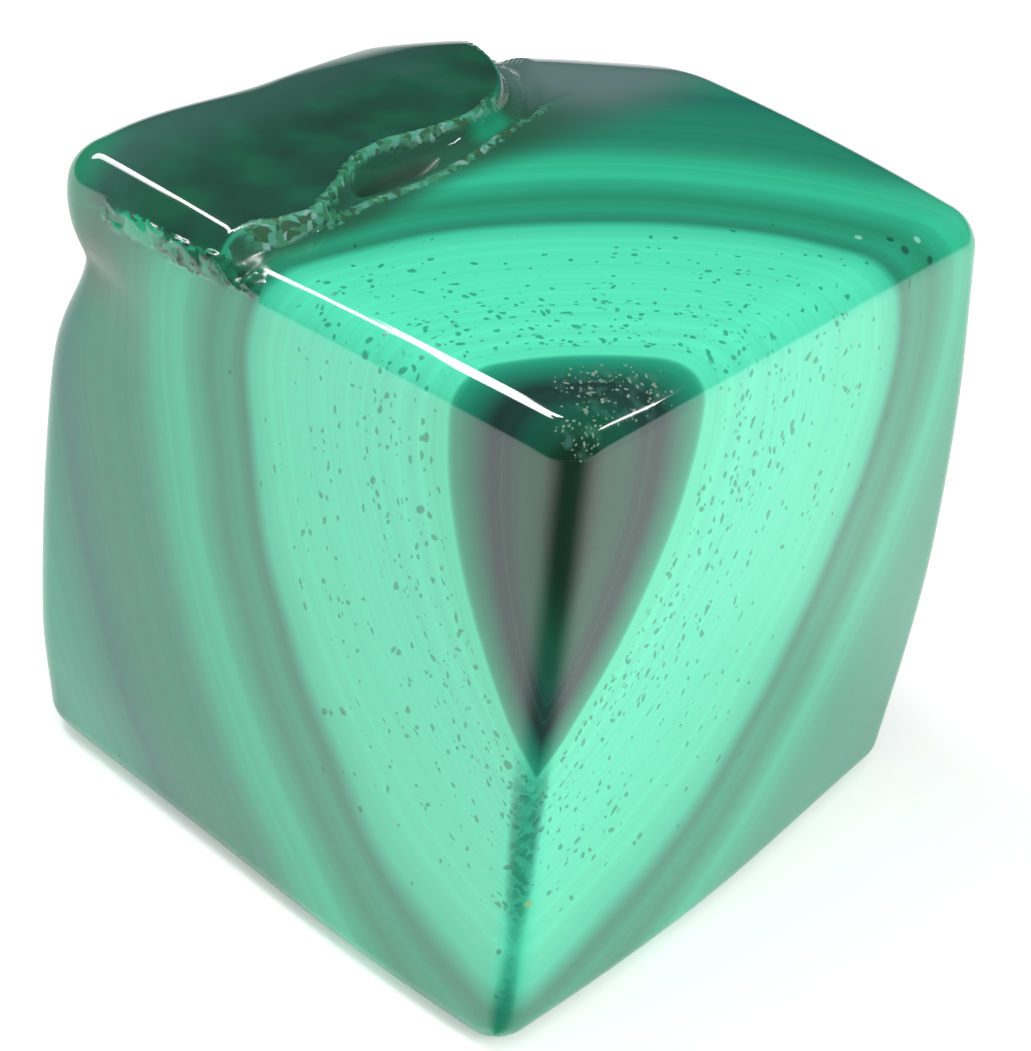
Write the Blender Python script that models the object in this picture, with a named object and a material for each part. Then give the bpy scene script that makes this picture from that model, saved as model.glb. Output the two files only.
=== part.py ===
"""A tumbled malachite cube: one polished stone, standing on its flat base.

The block is a rough cube whose faces are sawn away by slightly leaning planes. A slab along one
side stands a little proud of the rest of the top, parted from it by a seam. Low down, two of the
sides turn a little, and the slab's far corner stands higher than a true plane. The seam runs over
the top, down behind one corner as a deep dent, and back along a granular crust under the slab's
front edge. Everything is fused into one closed solid. Sizes are in metres and +Z is up.
"""
import math

import bmesh
import bpy
from mathutils import Matrix, Vector

MM = 0.001

# Overall sizes
HEIGHT = 20.0 * MM
MIDDLE = Vector((0.0, 0.0, HEIGHT / 2))
ROUGH_SIZE = 40.0 * MM

# Sawn faces: outward axis, lean in degrees towards the two other axes, distance from the middle
SAWN_FACES = {
    "front": ((0, -1, 0), (0.95, 0.0, 1.82), 9.68 * MM),
    "back": ((0, 1, 0), (2.39, 0.0, 0.86), 9.62 * MM),
    "right": ((1, 0, 0), (0.0, -0.90, 1.87), 9.68 * MM),
    "left": ((-1, 0, 0), (0.0, -1.25, 1.32), 9.80 * MM),
    "top": ((0, 0, 1), (-3.27, 0.97, 0.0), 10.50 * MM),
    "base": ((0, 0, -1), (0.0, 0.0, 0.0), 10.0 * MM),
}

# The corner lost from the back left of the top: direction as yaw and pitch, distance
LOST_CORNER = (-44.0, 37.0, 12.75 * MM)

# The slab's outer edge is ground back after tumbling: direction, distance, share taken off
GROUND_EDGE = (-78.0, 45.0, 12.80 * MM)
GROUND_SHARE = 0.8

# Tumbling rounds the edges, and wears a face more the further from its middle
EDGE_RADIUS = 1.0 * MM
EDGE_SEGMENTS = 4
FACE_WEAR = 0.003 / MM
WEAR_LINES = (-5.0 * MM, 0.0, 5.0 * MM)

# Low down the near corner sticks out and the far ones are drawn in, as if the sides were doors
DOOR_SWAY = 4.5 * MM
FRONT_TURN = 0.30 * MM
FRONT_TURN_MIDDLE = 1.5 * MM
FRONT_TURN_HEIGHT = 4.5 * MM
RIGHT_TURN = 0.29 * MM
RIGHT_TURN_MIDDLE = 2.5 * MM
RIGHT_TURN_HEIGHT = 9.0 * MM
SIDE_REACH = 9.0 * MM
TURN_LINES = (2.5 * MM, 17.0 * MM)

# The slab's far left corner stands higher: most it rises, where the rise begins and ends
CORNER_LIFT = 0.65 * MM
LIFT_ACROSS = (-4.5 * MM, -9.5 * MM)
LIFT_ALONG = (1.0 * MM, -8.5 * MM)
LIFT_UP = (17.0 * MM, 18.6 * MM)

# The slab ends at two nearly upright planes, and the rest of the top lies lower
SLAB_RISE = 0.6 * MM
STEP_WIDTH = 0.9 * MM
STEP_LINES = 4
SLAB_SIDE_POINT = Vector((-2.3, 0.0, 20.0)) * MM
SLAB_SIDE_NORMAL = Vector((1.0, -0.03, 0.0)).normalized()
SLAB_END_POINT = Vector((-4.2, 2.5, 20.0)) * MM
SLAB_END_NORMAL = Vector((0.62, 0.78, 0.0)).normalized()
LOWERED_ABOVE = 13.0 * MM
FULLY_LOWERED_ABOVE = 18.0 * MM

# Course of the seam: place, then radius of the groove there
SEAM_COURSE = [
    ((-1.95, -8.60, 19.60), 0.28),
    ((-1.60, -6.60, 19.72), 0.26),
    ((-1.45, -4.60, 19.74), 0.26),
    ((-1.45, -2.00, 19.72), 0.26),
    ((-1.60, 0.60, 19.66), 0.26),
    ((-2.60, 2.60, 19.60), 0.26),
    ((-4.90, 4.80, 19.45), 0.40),
    ((-7.90, 5.60, 18.50), 0.80),
    ((-9.95, 3.00, 17.70), 0.90),
    ((-10.20, -2.00, 17.30), 1.00),
    ((-9.80, -6.50, 16.90), 1.15),
    ((-8.90, -9.15, 16.65), 1.25),
    ((-7.90, -9.85, 17.90), 0.50),
    ((-5.60, -9.50, 18.55), 0.28),
    ((-3.40, -9.26, 18.75), 0.28),
    ((-2.30, -9.15, 19.10), 0.28),
]
SEAM_SIDES = 3
SEAM_STEPS = 3

# The open pocket beside the seam on the top
POCKET_MIDDLE = Vector((-2.45, -2.4, 20.05)) * MM
POCKET_SIZE = Vector((0.45, 2.0, 0.5)) * MM
POCKET_TURN = math.radians(8.0)

# Crust grains along the front of the seam
GRAIN_COUNT = 17
GRAIN_START = Vector((-7.3, -9.0, 19.0)) * MM
GRAIN_END = Vector((-1.5, -8.9, 19.2)) * MM
GRAIN_RADII = (0.32 * MM, 0.42 * MM, 0.28 * MM, 0.36 * MM)
GRAIN_SWAY = 0.15 * MM

# Finish
MALACHITE_GREEN = (0.03, 0.42, 0.24, 1.0)
POLISH_ROUGHNESS = 0.12


def clear_scene():
    for obj in list(bpy.data.objects):
        bpy.data.objects.remove(obj, do_unlink=True)


def face_plane(name):
    """Gives a sawn face's outward normal and a point on it."""
    axis, lean, reach = SAWN_FACES[name]
    slope = Vector([math.tan(math.radians(angle)) for angle in lean])
    normal = (Vector(axis) + slope).normalized()
    return normal, MIDDLE + normal * reach


def saw_off(bm, point, normal):
    """Cuts away everything past a plane and closes the cut with one flat face."""
    everything = bm.verts[:] + bm.edges[:] + bm.faces[:]
    cut = bmesh.ops.bisect_plane(
        bm, geom=everything, plane_co=point, plane_no=normal, clear_outer=True)
    rim = [item for item in cut["geom_cut"] if isinstance(item, bmesh.types.BMEdge)]
    bmesh.ops.edgeloop_fill(bm, edges=rim)


def score(bm, point, normal):
    """Draws a line of new edges where a plane meets the surface."""
    everything = bm.verts[:] + bm.edges[:] + bm.faces[:]
    bmesh.ops.bisect_plane(bm, geom=everything, plane_co=point, plane_no=normal)


def direction(yaw_degrees, pitch_degrees):
    """Gives the unit vector that points yaw degrees right of +Y and pitch degrees up."""
    yaw = math.radians(yaw_degrees)
    pitch = math.radians(pitch_degrees)
    level = math.cos(pitch)
    return Vector((math.sin(yaw) * level, math.cos(yaw) * level, math.sin(pitch)))


def saw_block():
    """Saws a rough cube down to the stone's leaning faces and its lost corner."""
    bm = bmesh.new()
    bmesh.ops.create_cube(bm, size=ROUGH_SIZE, matrix=Matrix.Translation(MIDDLE))
    for name in SAWN_FACES:
        normal, point = face_plane(name)
        saw_off(bm, point, normal)
    yaw, pitch, reach = LOST_CORNER
    normal = direction(yaw, pitch)
    saw_off(bm, MIDDLE + normal * reach, normal)
    return bm


def tumble(bm):
    """Rounds every edge, and adds lines across the faces for the wear to bend."""
    bmesh.ops.bevel(
        bm, geom=bm.edges[:], offset=EDGE_RADIUS, offset_type="OFFSET",
        segments=EDGE_SEGMENTS, profile=0.5, affect="EDGES", clamp_overlap=True)
    for axis in (Vector((1, 0, 0)), Vector((0, 1, 0)), Vector((0, 0, 1))):
        for line in WEAR_LINES:
            score(bm, MIDDLE + axis * line, axis)


def wear(bm):
    """Grinds back the slab's outer edge, then domes every face except the base."""
    yaw, pitch, reach = GROUND_EDGE
    outward = direction(yaw, pitch)
    half_size = HEIGHT / 2
    for vert in bm.verts:
        past_edge = max((vert.co - MIDDLE).dot(outward) - reach, 0.0)
        vert.co -= outward * past_edge * GROUND_SHARE
        x, y, z = vert.co - MIDDLE
        upper_z = max(z, 0.0)
        vert.co.x -= FACE_WEAR * (y * y + z * z) * x / half_size
        vert.co.y -= FACE_WEAR * (x * x + z * z) * y / half_size
        vert.co.z -= FACE_WEAR * (x * x + y * y) * upper_z / half_size


def ease(share):
    """Goes smoothly from 0 to 1 as share does, and stays there past either end."""
    share = min(max(share, 0.0), 1.0)
    return share * share * (3.0 - 2.0 * share)


def ease_from(value, span):
    """Goes smoothly from 0 at the span's start to 1 at its end."""
    start, end = span
    return ease((value - start) / (end - start))


def shift_sides(bm):
    """Turns the foot of two sides like doors, and raises the slab's far left corner."""
    for height in TURN_LINES:
        score(bm, Vector((0.0, 0.0, height)), Vector((0.0, 0.0, 1.0)))
    for vert in bm.verts:
        x, y, z = vert.co
        front = math.tanh((x - FRONT_TURN_MIDDLE) / DOOR_SWAY) * ease(1.0 - z / FRONT_TURN_HEIGHT)
        side = math.tanh((y - RIGHT_TURN_MIDDLE) / DOOR_SWAY) * ease(1.0 - z / RIGHT_TURN_HEIGHT)
        lift = ease_from(x, LIFT_ACROSS) * ease_from(y, LIFT_ALONG) * ease_from(z, LIFT_UP)
        vert.co.y -= FRONT_TURN * front * ease(-y / SIDE_REACH)
        vert.co.x -= RIGHT_TURN * side * ease(x / SIDE_REACH)
        vert.co.z += CORNER_LIFT * lift


def step_down_top(bm):
    """Leaves the slab standing: scores its two sides, then lowers the rest of the top."""
    sides = ((SLAB_SIDE_POINT, SLAB_SIDE_NORMAL), (SLAB_END_POINT, SLAB_END_NORMAL))
    for point, normal in sides:
        for line in range(STEP_LINES):
            score(bm, point + normal * STEP_WIDTH * line / (STEP_LINES - 1), normal)
    for vert in bm.verts:
        past_slab = max((vert.co - point).dot(normal) for point, normal in sides)
        height_share = (vert.co.z - LOWERED_ABOVE) / (FULLY_LOWERED_ABOVE - LOWERED_ABOVE)
        vert.co.z -= SLAB_RISE * ease(past_slab / STEP_WIDTH) * ease(height_share)


def object_from(name, bm):
    mesh = bpy.data.meshes.new(name)
    bmesh.ops.recalc_face_normals(bm, faces=bm.faces[:])
    bm.to_mesh(mesh)
    bm.free()
    obj = bpy.data.objects.new(name, mesh)
    bpy.context.scene.collection.objects.link(obj)
    return obj


def hide_cutter(obj):
    obj.hide_render = True
    obj.display_type = "WIRE"


def seam_groove():
    """Sweeps the seam's hollow: a closed tube that thins and swells along its course."""
    curve = bpy.data.curves.new("seam_groove", "CURVE")
    curve.dimensions = "3D"
    curve.bevel_depth = 1.0 * MM
    curve.bevel_resolution = SEAM_SIDES
    curve.resolution_u = SEAM_STEPS
    spline = curve.splines.new("BEZIER")
    spline.bezier_points.add(len(SEAM_COURSE) - 1)
    spline.use_cyclic_u = True
    for knot, (place, radius) in zip(spline.bezier_points, SEAM_COURSE):
        knot.co = Vector(place) * MM
        knot.radius = radius
        knot.handle_left_type = "AUTO"
        knot.handle_right_type = "AUTO"
    obj = bpy.data.objects.new("seam_groove", curve)
    bpy.context.scene.collection.objects.link(obj)
    return obj


def ball(name, middle, half_size, turn):
    """Makes a stretched ball from an icosphere."""
    bm = bmesh.new()
    place = Matrix.Translation(middle) @ Matrix.Rotation(turn, 4, "Z") @ Matrix.Diagonal(half_size).to_4x4()
    bmesh.ops.create_icosphere(bm, subdivisions=2, radius=1.0, matrix=place)
    return object_from(name, bm)


def crust_grains():
    """Sets a row of small faceted grains under the slab's front edge."""
    bm = bmesh.new()
    for index in range(GRAIN_COUNT):
        share = index / (GRAIN_COUNT - 1)
        middle = GRAIN_START.lerp(GRAIN_END, share)
        middle.z += GRAIN_SWAY * math.sin(index * 2.4)
        radius = GRAIN_RADII[index % len(GRAIN_RADII)]
        turn = Matrix.Rotation(index * 1.1, 4, "Y") @ Matrix.Rotation(index * 0.7, 4, "X")
        bmesh.ops.create_icosphere(
            bm, subdivisions=1, radius=radius, matrix=Matrix.Translation(middle) @ turn)
    return object_from("crust_grains", bm)


def combine(obj, tool, operation):
    """Adds or cuts another shape with an exact Boolean modifier."""
    modifier = obj.modifiers.new(tool.name, "BOOLEAN")
    modifier.operation = operation
    modifier.solver = "EXACT"
    modifier.use_self = True
    modifier.object = tool
    hide_cutter(tool)


def solid_from_curve(curve_object, name):
    """Turns a closed tube into a solid with its faces pointing out, which a Boolean can use."""
    depsgraph = bpy.context.evaluated_depsgraph_get()
    bm = bmesh.new()
    bm.from_mesh(curve_object.evaluated_get(depsgraph).to_mesh())
    bpy.data.objects.remove(curve_object, do_unlink=True)
    return object_from(name, bm)


def malachite():
    material = bpy.data.materials.new("malachite")
    material.use_nodes = True
    shader = material.node_tree.nodes["Principled BSDF"]
    shader.inputs["Base Color"].default_value = MALACHITE_GREEN
    shader.inputs["Roughness"].default_value = POLISH_ROUGHNESS
    shader.inputs["Metallic"].default_value = 0.0
    return material


def build_stone():
    bm = saw_block()
    tumble(bm)
    wear(bm)
    shift_sides(bm)
    step_down_top(bm)
    stone = object_from("malachite_cube", bm)
    stone.data.materials.append(malachite())
    bpy.context.view_layer.update()
    combine(stone, solid_from_curve(seam_groove(), "seam_hollow"), "DIFFERENCE")
    combine(stone, ball("pocket", POCKET_MIDDLE, POCKET_SIZE, POCKET_TURN), "DIFFERENCE")
    combine(stone, crust_grains(), "UNION")
    return stone


clear_scene()
build_stone()
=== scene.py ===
# %% [markdown]
# # A tumbled malachite cube
#
# Malachite grows in layers, one thin coat of green after another round a dark core, as an onion
# does. A sawn and polished face cuts through those coats and shows them as bands. This lesson
# dresses one small cube of it: first the frame from the CAD model, then the camera, the shape of
# the stone, its layered finish, and last the light that its polish mirrors.
#
# All lengths are in millimetres until they go into Blender, which takes metres.

# %% Load the frame
"""Dresses a tumbled malachite cube.

Shape: every sawn face pushes on a point by how far the point is past the face, and the skin is
where the squares of those pushes add up to one. Layers: the stretched distance from the core,
(|x|/a)^e + (|y|/b)^e + (|z|/c)^e, tells which coat of malachite a point lies in.
"""
import math

import bpy
import numpy as np
from mathutils import Matrix, Vector


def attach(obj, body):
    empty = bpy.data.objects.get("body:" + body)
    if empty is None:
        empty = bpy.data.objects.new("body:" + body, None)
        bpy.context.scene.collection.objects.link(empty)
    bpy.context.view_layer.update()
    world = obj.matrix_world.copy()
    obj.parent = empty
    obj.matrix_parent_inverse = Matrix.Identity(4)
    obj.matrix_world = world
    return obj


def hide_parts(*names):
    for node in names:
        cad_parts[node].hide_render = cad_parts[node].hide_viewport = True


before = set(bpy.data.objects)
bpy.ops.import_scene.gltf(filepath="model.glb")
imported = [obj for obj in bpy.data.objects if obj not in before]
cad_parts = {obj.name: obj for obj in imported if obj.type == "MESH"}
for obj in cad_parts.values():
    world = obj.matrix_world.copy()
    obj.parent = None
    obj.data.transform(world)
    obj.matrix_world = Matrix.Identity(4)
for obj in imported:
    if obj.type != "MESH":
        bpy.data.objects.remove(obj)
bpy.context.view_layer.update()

MM = 0.001

# %% [markdown]
# ## The camera
#
# The picture was taken from close by, about four and a half edge lengths away, so the cube's
# edges run together strongly towards the bottom. A camera's place could be found by eye, but the
# corners of the stone fix it: the values below are the ones that put all of them where the
# photograph shows them. The camera looks down at about 37 degrees and is held a little askew.

# %% Place the camera
PICTURE_SIZE = (1031, 1051)
FOCAL_PIXELS = 3000.0
SENSOR_WIDTH = 36.0
CAMERA_AROUND = math.radians(37.117)
CAMERA_ABOVE = math.radians(36.736)
CAMERA_ROLL = math.radians(7.306)
CAMERA_DISTANCE = 85.797
AIM = Vector((0.0, -0.78, 10.0))
AIM_SHIFT = (1.047, -1.127)

back = Vector((math.sin(CAMERA_AROUND) * math.cos(CAMERA_ABOVE),
               -math.cos(CAMERA_AROUND) * math.cos(CAMERA_ABOVE),
               math.sin(CAMERA_ABOVE)))
level_right = Vector((math.cos(CAMERA_AROUND), math.sin(CAMERA_AROUND), 0.0))
level_up = back.cross(level_right)
right = level_right * math.cos(CAMERA_ROLL) + level_up * math.sin(CAMERA_ROLL)
up = back.cross(right)
eye = AIM + back * CAMERA_DISTANCE + level_right * AIM_SHIFT[0] + level_up * AIM_SHIFT[1]

camera_data = bpy.data.cameras.new("camera")
camera_data.sensor_width = SENSOR_WIDTH
camera_data.lens = FOCAL_PIXELS * SENSOR_WIDTH / max(PICTURE_SIZE)
camera_data.clip_start = 1.0 * MM
camera = bpy.data.objects.new("camera", camera_data)
facing = Matrix((right, up, back)).transposed().to_4x4()
camera.matrix_world = Matrix.Translation(eye * MM) @ facing
bpy.context.scene.collection.objects.link(camera)
bpy.context.scene.camera = camera
print("camera at", [round(v, 1) for v in eye], "mm, lens", round(camera_data.lens, 1), "mm")

# %% [markdown]
# ## A grid of points on all six sides
#
# The stone could be a cube with a Bevel modifier, but its faces lean and bulge, and one part of
# it is a crusty seam that needs many small faces. So the skin is one closed grid: the six sides
# of a box of cells, counted by whole numbers, which makes neighbouring sides share their rows of
# corners. The lines of the grid crowd together at the edges and near the seam.

# %% Number the grid
GRID_CELLS = (142, 142, 96)
EDGE_CROWDING = 2.2
SEAM_CROWDING = 1.3


def crowded_lines(count, crowd):
    """Grid lines from -1 to 1. Formula: equal shares of the area under the crowding curve."""
    u = np.linspace(-1.0, 1.0, 4001)
    area = np.concatenate([[0.0], np.cumsum(crowd(u))[1:]])
    return np.interp(np.linspace(0.0, area[-1], count + 1), area, u)


def at_edges(u):
    """One in the middle, more towards both ends. Formula: 1 + crowding times u to the tenth."""
    return 1.0 + EDGE_CROWDING * np.minimum(np.abs(u) / 0.93, 1.0) ** 10


def beside(u, place, width):
    """A hump of extra lines. Formula: crowding times e to the minus squared distance."""
    return SEAM_CROWDING * np.exp(-((u - place) / width) ** 2)


lines = (
    crowded_lines(GRID_CELLS[0], lambda u: at_edges(u) + beside(u, -0.30, 0.28)),
    crowded_lines(GRID_CELLS[1], at_edges),
    crowded_lines(GRID_CELLS[2], lambda u: at_edges(u) + beside(u, 0.85, 0.15)),
)


def side_cells(axis, level, flip):
    """The cells of one side as (cells, 4 corners, 3 counts), going round each cell."""
    a, b = [k for k in range(3) if k != axis]
    i, j = np.meshgrid(np.arange(GRID_CELLS[a]), np.arange(GRID_CELLS[b]), indexing="ij")
    around = np.zeros(i.shape + (4, 3), int)
    for corner, (di, dj) in enumerate(((0, 0), (1, 0), (1, 1), (0, 1))):
        around[..., corner, a] = i + di
        around[..., corner, b] = j + dj
    around[..., axis] = level
    if flip:
        around = around[..., ::-1, :]
    return around.reshape(-1, 4, 3)


all_cells = np.concatenate([
    side_cells(0, GRID_CELLS[0], False), side_cells(0, 0, True),
    side_cells(1, 0, False), side_cells(1, GRID_CELLS[1], True),
    side_cells(2, GRID_CELLS[2], False), side_cells(2, 0, True),
])
counts, faces = np.unique(all_cells.reshape(-1, 3), axis=0, return_inverse=True)
faces = faces.reshape(-1, 4)
rays = np.stack([lines[k][counts[:, k]] for k in range(3)], axis=-1)
print(len(counts), "points,", 2 * len(faces), "triangles")

# %% [markdown]
# ## The worn block
#
# Tumbling rubs a stone against others for weeks: it rounds the edges and leaves each face very
# slightly domed. Each side is a plane with a lean, a distance from the middle and a little doming.
# The skin is found by walking out along every grid ray until the pushes of all the planes
# reach one, which gives round edges with no seams between the faces.

# %% Find the skin
MIDDLE = np.array([0.0, 0.0, 10.0])
EDGE_RADIUS = 1.01
SIDE_DOMING = 0.0036
TOP_DOMING = 0.0045
SAWN_FACES = (
    ((0, -1, 0), (0.953, 0.0, 1.820), 9.772, EDGE_RADIUS, SIDE_DOMING),
    ((0, 1, 0), (2.394, 0.0, 0.861), 9.740, EDGE_RADIUS, SIDE_DOMING),
    ((1, 0, 0), (0.0, -0.902, 1.872), 9.816, EDGE_RADIUS, SIDE_DOMING),
    ((-1, 0, 0), (0.0, -1.246, 1.321), 9.837, EDGE_RADIUS, SIDE_DOMING),
    ((0, 0, 1), (-3.273, 0.967, 0.0), 10.57, EDGE_RADIUS, TOP_DOMING),
    ((0, 0, -1), (0.0, 0.0, 0.0), 10.0, EDGE_RADIUS, 0.0),
)
GROUND_CORNERS = ((-44.4, 37.7, 12.68, 1.15), (-78.0, 45.0, 13.05, 2.0))


def face_normal(axis, lean):
    """Unit vector of a leaning face. Formula: axis plus the tangent of each lean."""
    normal = np.array(axis, float) + np.tan(np.radians(lean))
    return normal / np.linalg.norm(normal)


def pointing(yaw, pitch):
    """Unit vector that points yaw degrees right of +Y and pitch degrees up."""
    yaw, pitch = np.radians((yaw, pitch))
    return np.array([np.sin(yaw) * np.cos(pitch), np.cos(yaw) * np.cos(pitch), np.sin(pitch)])


# Each row of SAWN_FACES: axis, lean in degrees, distance, edge radius, doming.
# Each row of GROUND_CORNERS: degrees right of +Y, degrees up, distance, edge radius.
normals = np.array([face_normal(face[0], face[1]) for face in SAWN_FACES]
                   + [pointing(yaw, pitch) for yaw, pitch, _, _ in GROUND_CORNERS])
reaches = np.array([face[2] for face in SAWN_FACES] + [corner[2] for corner in GROUND_CORNERS])
radii = np.array([face[3] for face in SAWN_FACES] + [corner[3] for corner in GROUND_CORNERS])
doming = np.array([face[4] for face in SAWN_FACES] + [0.0] * len(GROUND_CORNERS))


def push(points):
    """How hard the planes push. Formula: root of the sum over planes of max(0, 1 + past/radius)
    squared, where past is the height over the plane plus doming times squared distance from its
    axis."""
    from_middle = points - MIDDLE
    height = from_middle @ normals.T
    off_axis = (from_middle ** 2).sum(-1)[:, None] - height ** 2
    past = height - reaches + doming * off_axis
    return np.sqrt((np.maximum(0.0, 1.0 + past / radii) ** 2).sum(-1))


SURELY_OUTSIDE = 30.0
HALVINGS = 34
near, far = np.zeros(len(rays)), np.full(len(rays), SURELY_OUTSIDE)
for halving in range(HALVINGS):
    halfway = (near + far) / 2
    outside = push(MIDDLE + rays * halfway[:, None]) > 1.0
    near, far = np.where(outside, near, halfway), np.where(outside, halfway, far)
skin = MIDDLE + rays * ((near + far) / 2)[:, None]
print("block spans", np.round(np.ptp(skin, axis=0), 2), "mm")

# %% [markdown]
# ## Not quite square
#
# The planes give a regular block, and a hand-sawn cube isn't one. Low down, the near corner
# sticks out and the far corners are drawn in. On top, the slab rises evenly towards its far left
# corner, and under that corner the side has a soft dent with a low lobe over it. A sculpting
# brush could do this, but a few smooth shifts with known sizes are easier to fit: they were
# found by laying the outline over the picture. The rise is an even ramp because a polished
# face mirrors a lamp as a straight line only where it is flat.

# %% Shift the skin a little
def ease(share):
    """Smooth step. Formula: 3 s squared minus 2 s cubed, with s held between 0 and 1."""
    share = np.clip(share, 0.0, 1.0)
    return share * share * (3.0 - 2.0 * share)


FRONT_TURN = 0.30
RIGHT_TURN = 0.29
TURN_LENGTH = 4.5
FRONT_TURN_BELOW = 4.5
RIGHT_TURN_BELOW = 9.0
HALF_SIDE = 9.0
CORNER_LIFT = 0.62
LIFT_STARTS_AT = -3.0
LIFT_LENGTH = 6.2
# Each row: middle x, y, z, half height above and below it, half length, depth inwards
DENTS = (
    (-8.6, -8.9, 16.55, 0.95, 1.75, 2.6, 0.60),
    (-9.0, -9.0, 18.30, 0.90, 1.10, 1.8, -0.16),
)


def out_of(points):
    """Outward directions. Formula: the slope of the push, by small steps along each axis."""
    step = 0.01
    slope = np.stack([push(points + step * axis) - push(points - step * axis)
                      for axis in np.eye(3)], axis=-1)
    return slope / np.linalg.norm(slope, axis=1, keepdims=True)


outward = out_of(skin)
x, y, z = skin.T.copy()
# Formula: each side near the base turns like a door, by a hyperbolic tangent along its length
skin[:, 1] -= (FRONT_TURN * np.tanh((x - 1.5) / TURN_LENGTH)
               * ease((FRONT_TURN_BELOW - z) / FRONT_TURN_BELOW) * ease(-y / HALF_SIDE))
skin[:, 0] -= (RIGHT_TURN * np.tanh((y - 2.5) / TURN_LENGTH)
               * ease((RIGHT_TURN_BELOW - z) / RIGHT_TURN_BELOW) * ease(x / HALF_SIDE))
# Formula: the lift is an even ramp to the left, times smooth steps to the front and upwards
skin[:, 2] += (CORNER_LIFT * np.clip((-x + LIFT_STARTS_AT) / LIFT_LENGTH, 0.0, 1.0)
               * ease((-1.5 - y) / 6.0) * ease((z - 17.0) / 1.6))
# Formula: a dent is e to the minus squared height, minus squared distance in plan, both counted
# from its middle in half sizes
for middle_x, middle_y, middle_z, half_up, half_down, half_side, depth_in in DENTS:
    half_height = np.where(z > middle_z, half_up, half_down)
    off_middle = (x - middle_x) ** 2 + (y - middle_y) ** 2
    dent = depth_in * np.exp(-((z - middle_z) / half_height) ** 2 - off_middle / half_side ** 2)
    skin -= outward * dent[:, None]
print("skin spans", np.round(np.ptp(skin, axis=0), 2), "mm")

# %% [markdown]
# ## The slab and its seam
#
# A slab of older, darker malachite lies along the left of the top and stands 0.6 mm proud. The
# seam round it is a crack that filled with crust: two thin ridges with an open pocket between
# them on the top, a row of grains under the slab's front edge, and a deep dent at the far left
# edge. The lines are drawn as smooth curves through a few measured places, and each point of the
# skin is moved by how far it lies from them.

# %% Helpers for lines on the stone
def hump(distance, width):
    """Formula: e to the minus squared distance over squared width."""
    return np.exp(-(distance / width) ** 2)


def smooth_line(knots, steps=6):
    """A smooth curve through the knots: the cubic that leaves each knot parallel to the line
    between its neighbours."""
    p = np.array(knots, float)
    p = np.vstack([2 * p[0] - p[1], p, 2 * p[-1] - p[-2]])
    t = np.linspace(0.0, 1.0, steps, endpoint=False)[None, :, None]
    a, b, c, d = (p[k:len(p) - 3 + k, None, :] for k in range(4))
    curve = 0.5 * (2 * b + (c - a) * t + (2 * a - 5 * b + 4 * c - d) * t ** 2
                   + (3 * b - a - 3 * c + d) * t ** 3)
    return np.vstack([curve.reshape(-1, p.shape[1]), p[-2]])


def nearest_on(points, line):
    """Distance of each point to a line, the place there, and how far along it lies (0 to 1)."""
    best = np.full(len(points), np.inf)
    place, along = np.zeros_like(points), np.zeros(len(points))
    for k in range(len(line) - 1):
        step = line[k + 1] - line[k]
        t = np.clip((points - line[k]) @ step / (step @ step), 0.0, 1.0)
        foot = line[k] + t[:, None] * step
        gap = ((points - foot) ** 2).sum(-1)
        closer = gap < best
        best = np.where(closer, gap, best)
        place[closer] = foot[closer]
        along[closer] = ((k + t) / (len(line) - 1))[closer]
    return np.sqrt(best), place, along


def beside_line(points, line):
    """Signed distance in plan to a line: positive on the left of its direction."""
    gap, foot, along = nearest_on(points[:, :2], line)
    k = np.minimum((along * (len(line) - 1)).astype(int), len(line) - 2)
    step = line[k + 1] - line[k]
    across = step[:, 0] * (points[:, 1] - foot[:, 1]) - step[:, 1] * (points[:, 0] - foot[:, 0])
    return np.where(across >= 0.0, gap, -gap), along


# %% Raise the slab
SLAB_RISE = 0.6
SLAB_SHOULDER = 0.45
LOWERED_ABOVE = 13.0
FULLY_LOWERED_ABOVE = 18.0
SLAB_EDGE = smooth_line([
    (-2.95, -13.0), (-2.75, -9.6), (-2.71, -8.60), (-2.19, -7.57), (-1.90, -6.61),
    (-2.37, -5.31), (-3.01, -3.89), (-3.10, -2.54), (-2.74, -1.18), (-2.67, 0.50),
    (-3.37, 2.14), (-4.64, 3.38), (-7.0, 4.6), (-10.0, 6.2), (-14.0, 8.0),
])

slab_side, slab_along = beside_line(skin, SLAB_EDGE)
sunk = ease((0.1 - slab_side) / SLAB_SHOULDER) * SLAB_RISE
skin[:, 2] -= sunk * ease((skin[:, 2] - LOWERED_ABOVE) / (FULLY_LOWERED_ABOVE - LOWERED_ABOVE))
on_slab = slab_side[skin[:, 2] > 19.0] > 0
print("slab covers", round(float(on_slab.mean()) * 100), "% of the top points")

# %% [markdown]
# ## A groove along the seam
#
# A Boolean cut with a tube could make the groove, but it would leave sharp rims and long thin
# faces. Here the skin is moved as if a round file had followed the seam: where the file's axis
# passes within its radius of the skin, the skin moves in to the file's surface, and the rim of
# the cut is eased over. The file is thin on the top and thick at the back, where the slab has
# broken away.

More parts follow.
